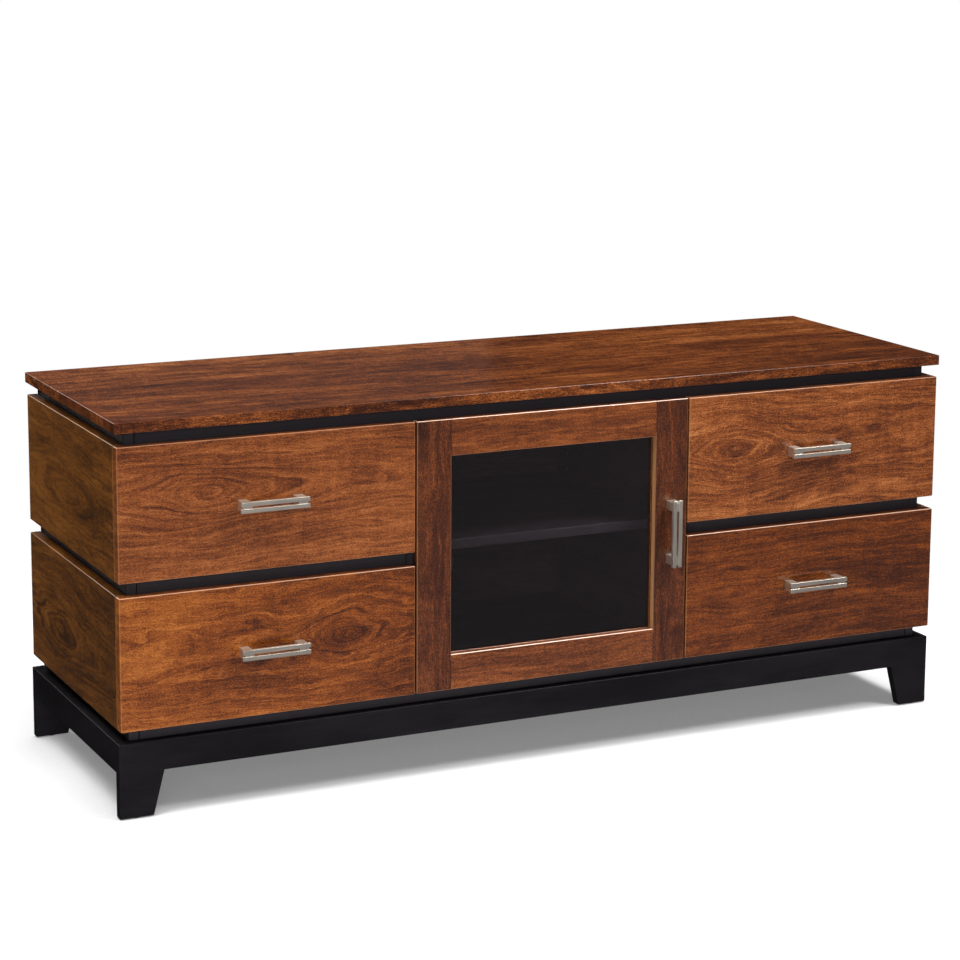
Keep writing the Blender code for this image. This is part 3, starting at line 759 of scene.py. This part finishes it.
def make_legged_board(node):
    """Base board with a tapered leg at each end, and their glides."""
    low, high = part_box(node)
    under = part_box("base_side_left")[0].z
    outline = [(low.x, GLIDE), (low.x + LEG_FOOT, GLIDE), (low.x + LEG_SHOULDER, under),
               (high.x - LEG_SHOULDER, under), (high.x - LEG_FOOT, GLIDE), (high.x, GLIDE),
               (high.x, high.z), (low.x, high.z)]
    shape = prism(outline, low.y, high.y)
    soften(piece(node + "_board", shape, BLACK, "cabinet", [node]), 0.0012)
    for word, side in SIDES.items():
        foot = (side * (high.x - LEG_FOOT / 2), (low.y + high.y) / 2, 0.0)
        profile = [(0, 0), (0.0055, 0), (0.0075, 0.0008), (0.0075, GLIDE), (0, GLIDE)]
        name = node.replace("base", "glide") + "_" + word
        shade(piece(name, lathe(profile, foot, "Z", 24), PLASTIC, "cabinet"))


def corner_block(name, x, y, z0, z1, across, inward):
    """Three-sided block in a corner of the base, which reaches `across` in X and `inward` in Y."""
    shape = bmesh.new()
    rim = [shape.verts.new((x, y, z)) for z in (z0, z1)]
    one = [shape.verts.new((x + across, y, z)) for z in (z0, z1)]
    two = [shape.verts.new((x, y + inward, z)) for z in (z0, z1)]
    for loop in ((rim[0], one[0], two[0]), (rim[1], two[1], one[1]), (rim[0], rim[1], one[1], one[0]),
                 (one[0], one[1], two[1], two[0]), (two[0], two[1], rim[1], rim[0])):
        shape.faces.new(loop)
    soften(piece(name, shape, BLACK, "cabinet"), 0.0008, 2)


def make_base():
    """Front and back boards on legs, side rails, and blocks in the corners."""
    for node in ("base_front", "base_back"):
        make_legged_board(node)
    z0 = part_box("base_side_left")[0].z + 0.004
    z1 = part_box("base_panel")[0].z - 0.0005
    for word, side in SIDES.items():
        node = "base_side_" + word
        board(node, node + "_board", BLACK_SIDE, "cabinet")
        low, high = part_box(node)
        x = high.x if side < 0 else low.x
        for end, y, inward in (("front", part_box("base_front")[1].y, 1),
                               ("back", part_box("base_back")[0].y, -1)):
            corner_block("corner_block_" + end + "_" + word, x, y, z0, z1,
                         -side * CORNER_BLOCK, inward * CORNER_BLOCK)


# ---------------------------------------------------------------- case fittings
PIN_PITCH = 0.032
PIN_STEPS = 4              # holes above and below the one that holds the shelf's pin
PIN = [(0, 0), (0.0025, 0), (0.0025, 0.0095), (0.0018, 0.0102), (0, 0.0102)]
SLEEVE = [(0.0021, 0.0), (0.0034, 0.0), (0.0034, 0.0006), (0.0021, 0.0006)]


def off_divider(profile, place, side, sides):
    """Shape turned on a divider's face, standing into the door bay."""
    shape = lathe(profile, place, "X", sides)
    if side > 0:
        bmesh.ops.rotate(shape, verts=shape.verts, cent=place, matrix=Matrix.Rotation(math.pi, 3, "Z"))
    return shape


def make_shelf():
    """Shelf on four pins, and the rows of sleeved holes that it can be moved to."""
    board("shelf", "shelf_board", BLACK_SHELF, "cabinet")
    low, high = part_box("shelf")
    for word, side in SIDES.items():
        face = side * (high.x + SEAM)
        sleeves = []
        for name, y in (("front", low.y + 0.04), ("back", high.y - 0.05)):
            pin = off_divider(PIN, (face, y, low.z - 0.0027), side, 20)
            shade(piece("shelf_pin_" + name + "_" + word, pin, ZINC, "cabinet"))
            for step in range(-PIN_STEPS, PIN_STEPS + 1):
                if step:
                    z = low.z - 0.004 + step * PIN_PITCH
                    sleeves.append(off_divider(SLEEVE, (face, y, z), side, 16))
        shade(piece("pin_sleeves_" + word, merged(sleeves), PLASTIC, "cabinet"))


def make_back():
    """Screws round the back panel and along the dividers, and the lined cable hole."""
    low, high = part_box("back_panel")
    inset = 0.012
    xs = [low.x + inset + i * (high.x - low.x - 2 * inset) / 8 for i in range(9)]
    zs = [low.z + inset + i * (high.z - low.z - 2 * inset) / 3 for i in range(4)]
    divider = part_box("divider_right")[0].x + 0.0095
    spots = [(x, z) for x in xs for z in (zs[0], zs[-1])]
    spots += [(x, z) for z in zs[1:-1] for x in (xs[0], xs[-1])]
    spots += [(x, z) for x in (-divider, divider) for z in zs[1:-1]]
    heads = [screw_head((x, high.y, z), "Y", 1, 0.0036, turn=i * 1.3) for i, (x, z) in enumerate(spots)]
    shade(piece("back_panel_screws", merged(heads), ZINC, "cabinet"))

    low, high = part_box("cable_grommet")
    flange = (high.x - low.x) / 2
    outer = flange - 0.004
    inner = outer - 0.0025
    depth = high.y - low.y
    profile = [(inner, 0.0006), (inner + 0.0006, 0.0), (outer, 0.0), (outer, depth - 0.0025),
               (flange, depth - 0.0025), (flange, depth - 0.0012), (flange - 0.0012, depth),
               (inner + 0.0015, depth), (inner, depth - 0.0015)]
    centre = ((low.x + high.x) / 2, low.y, (low.z + high.z) / 2)
    shade(piece("cable_grommet_ring", lathe(profile, centre, "Y", 64), PLASTIC, "cabinet",
                ["cable_grommet"]))


# ---------------------------------------------------------------- drawers
BOX_WALL = 0.013
BOX_FLOOR = 0.006
BOX_LIFT = 0.010           # bottom board above the walls' lower edge
TAILS = 9                  # fingers at a corner, tails and pins together
SLANT = 0.0016             # how much a finger widens or narrows to each side
PULL_SCREW = 0.0508        # half the distance between a pull's screws


def dovetailed(shape, y0, y1, z0, z1):
    """Lean the finger boundaries near both ends of a box, so that the fingers become dovetails."""
    pitch = (z1 - z0) / TAILS
    for vert in shape.verts:
        k = round((vert.co.z - z0) / pitch)
        if k in (0, TAILS) or abs(vert.co.z - z0 - k * pitch) > 1e-5:
            continue
        lean = 0.0
        for edge, inside in ((y0, y0 + BOX_WALL), (y1, y1 - BOX_WALL)):
            if abs(vert.co.y - edge) < 1e-5:
                lean = 1.0
            elif abs(vert.co.y - inside) < 1e-5:
                lean = -1.0
        vert.co.z += lean * SLANT * (1 if k % 2 else -1)
    return shape


def make_drawer_box(tag):
    """Five boards dovetailed at the corners, with the screws that hold the front and its pull."""
    node = "drawer_box_" + tag
    body = "drawer_" + tag
    low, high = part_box(node)
    zs = [low.z + k * (high.z - low.z) / TAILS for k in range(TAILS + 1)]
    ys = (low.y, low.y + BOX_WALL, high.y - BOX_WALL, high.y)
    xs = (low.x, low.x + BOX_WALL, high.x - BOX_WALL, high.x)
    for name, across, deep, finish in (
            ("side_left", xs[:2], ys, BIRCH_SIDE), ("side_right", xs[2:], ys, BIRCH_SIDE),
            ("front", xs, ys[:2], BIRCH_END), ("back", xs, ys[2:], BIRCH_END)):
        is_side = finish is BIRCH_SIDE
        shape = cells(across, deep, zs, lambda i, j, k: (j if is_side else i) == 1 or (k % 2 == 0) == is_side)
        piece("box_" + name + "_" + tag, dovetailed(shape, low.y, high.y, low.z, high.z), finish,
              body, [node] if name == "side_left" else [])
    floor = block((xs[1], ys[1], low.z + BOX_LIFT), (xs[2], ys[2], low.z + BOX_LIFT + BOX_FLOOR))
    piece("box_floor_" + tag, floor, BIRCH_FLOOR, body)

    middle = (low.x + high.x) / 2
    pull_z = sum(corner.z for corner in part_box("drawer_pull_" + tag)) / 2
    heads = [screw_head((middle + dx, ys[1], z), "Y", 1, 0.0038, turn=dx * 40 + z * 9)
             for dx in (-0.19, 0.19) for z in (low.z + 0.045, high.z - 0.035)]
    heads += [screw_head((middle + dx, ys[1], pull_z), "Y", 1, 0.0042, turn=dx * 30)
              for dx in (-PULL_SCREW, PULL_SCREW)]
    shade(piece("box_screws_" + tag, merged(heads), ZINC, body))


RUNNER_SHEET = 0.0012
RUNNER_SCREWS = (0.035, 0.16, 0.29, 0.42)   # behind the runner's front end


def make_runner_screws(tag):
    """Pan heads on the webs of both members of a pair of runners."""
    for word in ("inner", "outer"):
        for member, body in (("case", "cabinet"), ("drawer", "drawer_" + tag)):
            ends = "_".join((member, tag, word))
            low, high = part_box("runner_" + ends)
            web_low = ((word == "inner") == tag.endswith("right")) == (member == "case")
            x = low.x + RUNNER_SHEET if web_low else high.x - RUNNER_SHEET
            way = 1 if web_low else -1
            heads = [screw_head((x, low.y + step, (low.z + high.z) / 2), "X", way, 0.0034, turn=step * 20)
                     for step in RUNNER_SCREWS]
            shade(piece("runner_screws_" + ends, merged(heads), ZINC, body))


# ---------------------------------------------------------------- pulls
BAR = 0.0075               # height of each bar of a pull
BAR_DEPTH = 0.007          # and its depth
BITE = 0.0002              # how far the posts are let into the bars
POST = 0.0165              # width of a post
POST_FROM_END = 0.0037     # post inside the bars' ends
POST_IN = 0.0005           # post inside the bars' outer faces
TONGUE_BACK = 0.0007       # post's tongue behind the bars' front faces


def pull_piece(node, body, upright, finish):
    """Two square bars, let into two posts with a tongue between the bars."""
    low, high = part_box(node)
    back = low.y + BAR_DEPTH
    a, b = (2, 0) if upright else (0, 2)

    def stood(spans, ys, sides, filled=lambda i, j, k: True):
        if upright:
            return cells(sides, ys, spans, lambda i, j, k: filled(k, j, i))
        return cells(spans, ys, sides, filled)

    shapes = [stood((low[a], high[a]), (low.y, back), side)
              for side in ((low[b], low[b] + BAR), (high[b] - BAR, high[b]))]
    sides = (low[b] + POST_IN, low[b] + BAR - BITE, high[b] - BAR + BITE, high[b] - POST_IN)
    for start in (low[a] + POST_FROM_END, high[a] - POST_FROM_END - POST):
        shapes.append(stood((start, start + POST), (low.y + TONGUE_BACK, back - BITE, high.y), sides,
                            lambda i, j, k: j == 1 or k == 1))
    made = piece(node.replace("_pull", "_bar_pull"), merged(shapes), finish, body, [node])
    soften(made, 0.0005, 2)


# ---------------------------------------------------------------- door
LIP = 0.0125               # wood in front of the glass
RABBET = 0.008             # how far the frame is cut back behind the lip
CUP = 0.0175               # radius of a hinge cup
CUP_PLAY = 0.0002          # pocket's radius beyond the cup's
BEAD_WIDTH = 0.0075


def cup_place(level):
    """Middle of a hinge cup's bottom."""
    low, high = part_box("hinge_cup_" + level)
    return Vector(((low.x + high.x) / 2, low.y, (low.z + high.z) / 2))


def make_stile(word, side, open_x, open_z):
    """Upright of the door frame, with the rabbet for the glass and the hinge cups' pockets."""
    node = "door_stile_" + word
    low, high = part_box(node)
    xs = sorted((side * open_x, side * (open_x + RABBET), low.x if side < 0 else high.x))
    inner = 0 if side > 0 else 1
    shape = cells(xs, (low.y, low.y + LIP, high.y), (low.z, open_z[0] - RABBET, open_z[1] + RABBET, high.z),
                  lambda i, j, k: not (i == inner and j == 1 and k == 1))
    # The stile's wood has a painted highlight on its edges that look up and a painted sheen on its face
    # towards the opening.
    finish = wood("cherry_" + node, "ZXY", CHERRY, 21.0 + side, eye=(1.4, side * 0.26), oval=0.06,
                  rings=105.0, contrast=0.8, figure=0.5, tone=0.225 - 0.02 * side, face=low.y,
                  top_edge_highlight=0.70, cheek_sheen=-0.70 * side)
    stile = piece(node + "_board", shape, finish, "door", [node])
    cups = [cup_place(level) for level in LEVELS]
    if side < 0:
        bore(stile, cups, CUP + CUP_PLAY, high.y - low.y)

    def kept_sharp(middle):
        """Whether an edge lies where a rail meets the stile, or on a pocket."""
        beside = abs(abs(middle.x) - open_x) < 0.001
        in_joint = beside and not open_z[0] - RABBET < middle.z < open_z[1] + RABBET
        on_pocket = any(math.hypot(middle.x - cup.x, middle.z - cup.z) < CUP + 0.002 for cup in cups)
        return in_joint or on_pocket

    soften(stile, 0.0020, 4, kept_sharp)


def make_rail(word, number, open_x):
    """Lower (0) or upper (1) crosspiece of the door frame, with the rabbet for the glass."""
    node = "door_rail_" + word
    low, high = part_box(node)
    inner = low.z + RABBET if number else high.z - RABBET
    shape = cells((low.x, high.x), (low.y, low.y + LIP, high.y), (low.z, inner, high.z),
                  lambda i, j, k: not (j == 1 and k == 1 - number))
    # The rail's wood has a strong painted highlight on its edges that look up.
    finish = wood("cherry_" + node, "XZY", CHERRY, 25.0 + number, eye=(1.4, low.z - 0.02), oval=0.05,
                  rings=85.0, contrast=0.75, figure=0.6, tone=0.37, face=low.y, top_edge_highlight=0.80)
    soften(piece(node + "_board", shape, finish, "door", [node]), 0.0020, 4,
           lambda middle: abs(abs(middle.x) - open_x) < 0.001)


def make_glass_bead():
    """Four mitred strips that hold the pane from behind."""
    low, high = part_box("glass_retainer")
    outer, inner = ([(low.x + inset, low.z + inset), (high.x - inset, low.z + inset),
                     (high.x - inset, high.z - inset), (low.x + inset, high.z - inset)]
                    for inset in (0.0, BEAD_WIDTH))
    for i, word in enumerate(("bottom", "right", "top", "left")):
        j = (i + 1) % 4
        shape = prism([outer[i], outer[j], inner[j], inner[i]], low.y, high.y)
        replaced = [] if i else ["glass_retainer"]
        soften(piece("glass_bead_" + word, shape, BEAD, "door", replaced), 0.0009)


def make_door():
    """Stiles that run through, rails between them, the pane, its bead, and the pull's screws."""
    rail_low, rail_high = (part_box("door_rail_" + word) for word in ("bottom", "top"))
    open_x = rail_low[1].x + SEAM
    open_z = (rail_low[1].z, rail_high[0].z)
    for word, side in SIDES.items():
        make_stile(word, side, open_x, open_z)
    for number, word in enumerate(("bottom", "top")):
        make_rail(word, number, open_x)
    board("door_glass", "door_pane", GLASS, "door", 0.0005, 2)
    make_glass_bead()
    low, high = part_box("door_pull")
    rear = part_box("door_stile_left")[1].y
    heads = [screw_head(((low.x + high.x) / 2, rear - 0.0001, (low.z + high.z) / 2 + dz),
                        "Y", 1, 0.0038, turn=dz * 50) for dz in (-PULL_SCREW, PULL_SCREW)]
    shade(piece("door_pull_screws", merged(heads), ZINC, "door"))


def bumper(name, x, z, y, body):
    """Soft dome stuck to the back of a door or drawer front."""
    dome = lathe([(0, 0), (0.0045, 0), (0.0045, 0.0006), (0.0035, 0.0015), (0.0018, 0.0020), (0, 0.0021)],
                 (x, y, z), "Y", 24)
    shade(piece(name, dome, PLASTIC, body))


def make_bumpers():
    """Two on the door and two on each drawer front."""
    low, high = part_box("door_stile_right")
    for word, z in (("lower", low.z + 0.02), ("upper", high.z - 0.02)):
        bumper("door_bumper_" + word, high.x - 0.011, z, high.y, "door")
    for level, word in itertools.product(LEVELS, SIDES):
        tag = level + "_" + word
        low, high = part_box("drawer_front_" + tag)
        for end, x in (("left", low.x + 0.03), ("right", high.x - 0.03)):
            bumper("front_bumper_" + tag + "_" + end, x, high.z - 0.012, high.y, "drawer_" + tag)


CUP_SHEET = 0.0012         # cup's wall and flange
WING_REACH = 0.0285        # wing's tip above and below the cup's middle
PLATE = 0.0025             # thickness of an arm's plate
PLATE_LENGTH = 0.034       # from the arm's end to the plate's front edge
PLATE_INSET = 0.006        # plate's back edge inside the arm's end
ARM_HALF = 0.0065          # half the arm's height


def make_cup(level):
    """Hinge cup with a winged flange and its two screws, in the door."""
    low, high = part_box("hinge_cup_" + level)
    centre = cup_place(level)
    depth = high.y - low.y
    flange = (high.x - low.x) / 2
    profile = [(0, 0), (CUP - 0.002, 0), (CUP, 0.002), (CUP, depth - CUP_SHEET), (flange, depth - CUP_SHEET),
               (flange, depth), (CUP - CUP_SHEET, depth), (CUP - CUP_SHEET, 0.003), (CUP - 0.003, CUP_SHEET),
               (0, CUP_SHEET)]
    outline = [(-0.006, -WING_REACH), (0.006, -WING_REACH), (0.011, -CUP * 0.9), (0.011, -CUP * 0.75),
               (-0.011, -CUP * 0.75), (-0.011, -CUP * 0.9)]
    wing = prism([(centre.x + x, centre.z + z) for x, z in outline], high.y - CUP_SHEET, high.y - 0.0001)
    other = wing.copy()
    bmesh.ops.rotate(other, verts=other.verts, cent=centre, matrix=Matrix.Rotation(math.pi, 3, "Y"))
    heads = [screw_head((centre.x, high.y - 0.0003, centre.z + dz), "Y", 1, 0.0024, turn=0.5 + dz * 20)
             for dz in (-0.0235, 0.0235)]
    whole = merged([lathe(profile, centre, "Y", 48), wing, other] + heads)
    shade(piece("hinge_cup_flange_" + level, whole, NICKEL_X, "door",
                ["hinge_cup_" + level]))


def make_arm(level):
    """Hinge arm on its screwed plate, on the divider."""
    low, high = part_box("hinge_arm_" + level)
    middle = (low.z + high.z) / 2
    start = high.y - PLATE_LENGTH
    end = high.y - PLATE_INSET
    taper = 0.002
    lower = [(low.y + taper, -0.8), (start, -1.0), (high.y - taper, -1.0), (high.y, -0.6)]
    upper = [(y, -share) for y, share in reversed(lower)]
    outline = [(y, middle + ARM_HALF * share)
               for y, share in lower + upper + [(low.y, 0.5), (low.y, -0.5)]]
    arm = piece("hinge_arm_body_" + level, prism_x(outline, low.x + PLATE * 0.6, high.x - 0.0002),
                NICKEL_Y, "cabinet", ["hinge_arm_" + level])
    soften(arm, 0.0011)
    cut = 0.004
    wings = prism_x([(start, low.z + cut), (start + cut, low.z), (end - cut, low.z), (end, low.z + cut),
                     (end, high.z - cut), (end - cut, high.z), (start + cut, high.z), (start, high.z - cut)],
                    low.x, low.x + PLATE)
    soften(piece("hinge_plate_" + level, wings, ZINC, "cabinet"), 0.0005, 2)
    heads = [screw_head((low.x + PLATE, (start + end) / 2, z), "X", 1, 0.0034, turn=z * 30)
             for z in (low.z + 0.007, high.z - 0.007)]
    shade(piece("hinge_screws_" + level, merged(heads), ZINC, "cabinet"))


# ---------------------------------------------------------------- assembly
make_camera()
make_light()
make_world()
make_floor()

BLACK = black_lacquer("black_lacquer")
BLACK_SIDE = black_lacquer("black_lacquer_side", axes="YZX")
BLACK_CASE = black_lacquer("black_lacquer_case", front_sheen=True)
BLACK_CASE_SIDE = black_lacquer("black_lacquer_case_side", axes="YZX", front_sheen=True)
BLACK_SHELF = black_lacquer("black_lacquer_shelf", (0.0105, 0.0085, 0.0100), axes="XYZ")
BLACK_INSIDE = black_lacquer("black_stain_inside", (0.0080, 0.0050, 0.0060), 0.50, "XZY", 1.2, 0.10)
BLACK_BAY = black_lacquer("black_stain_bay", (0.0066, 0.0046, 0.0052), 0.55, "YZX", 1.0, 0.08, front_sheen=True)
# Deck boards get a darker copy of the black: painted shade on the bay's floor and ceiling and under the
# cabinet.
SHADED_BLACK_DECK = black_lacquer("black_stain_deck_shaded", (0.0022, 0.0016, 0.0018), 0.55, "XYZ", 0.8, 0.06, front_sheen=True)
NICKEL_X, NICKEL_Y, NICKEL_Z = (brushed_nickel(along) for along in "XYZ")
ZINC = zinc_plate("zinc_plate")
PLASTIC = moulded_plastic("black_plastic")
GLASS = clear_glass("door_glass")
BEAD = wood("cherry_bead", "XZY", CHERRY, 31.0, contrast=0.6, figure=0.2, tone=0.4)
BIRCH_SIDE, BIRCH_END, BIRCH_FLOOR = (
    wood("birch_" + name, axes, BIRCH, seed, contrast=0.5, figure=0.3, gloss=0.45, coat=0.0)
    for name, axes, seed in (("side", "YZX", 41.0), ("end", "XZY", 43.0), ("floor", "YXZ", 45.0)))

make_top()
make_skins()
make_base()
make_shelf()
make_back()
make_door()
make_bumpers()
for level in LEVELS:
    make_cup(level)
    make_arm(level)
    for word in SIDES:
        tag = level + "_" + word
        make_drawer_front(tag)
        make_drawer_box(tag)
        make_runner_screws(tag)
        pull_piece("drawer_pull_" + tag, "drawer_" + tag, False, NICKEL_X)
pull_piece("door_pull", "door", True, NICKEL_Z)

# Nodes that keep their shape get a better finish, from the first row that their name starts with.
COATS = (("runner_", ZINC), ("divider", BLACK_BAY), ("carcass_side", BLACK_CASE_SIDE),
         (("carcass_top", "carcass_bottom", "base_panel"), SHADED_BLACK_DECK),
         (("carcass_", "drawer_rail"), BLACK_CASE), ("back_panel", BLACK_INSIDE))
for node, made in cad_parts.items():
    coat = next((material for start, material in COATS if node.startswith(start)), None)
    if coat:
        made.data.materials.clear()
        made.data.materials.append(coat)

sizes = [[list(corner) for corner in box] for box in (cad_bounds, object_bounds())]
dict(cad=sizes[0], visual=sizes[1])
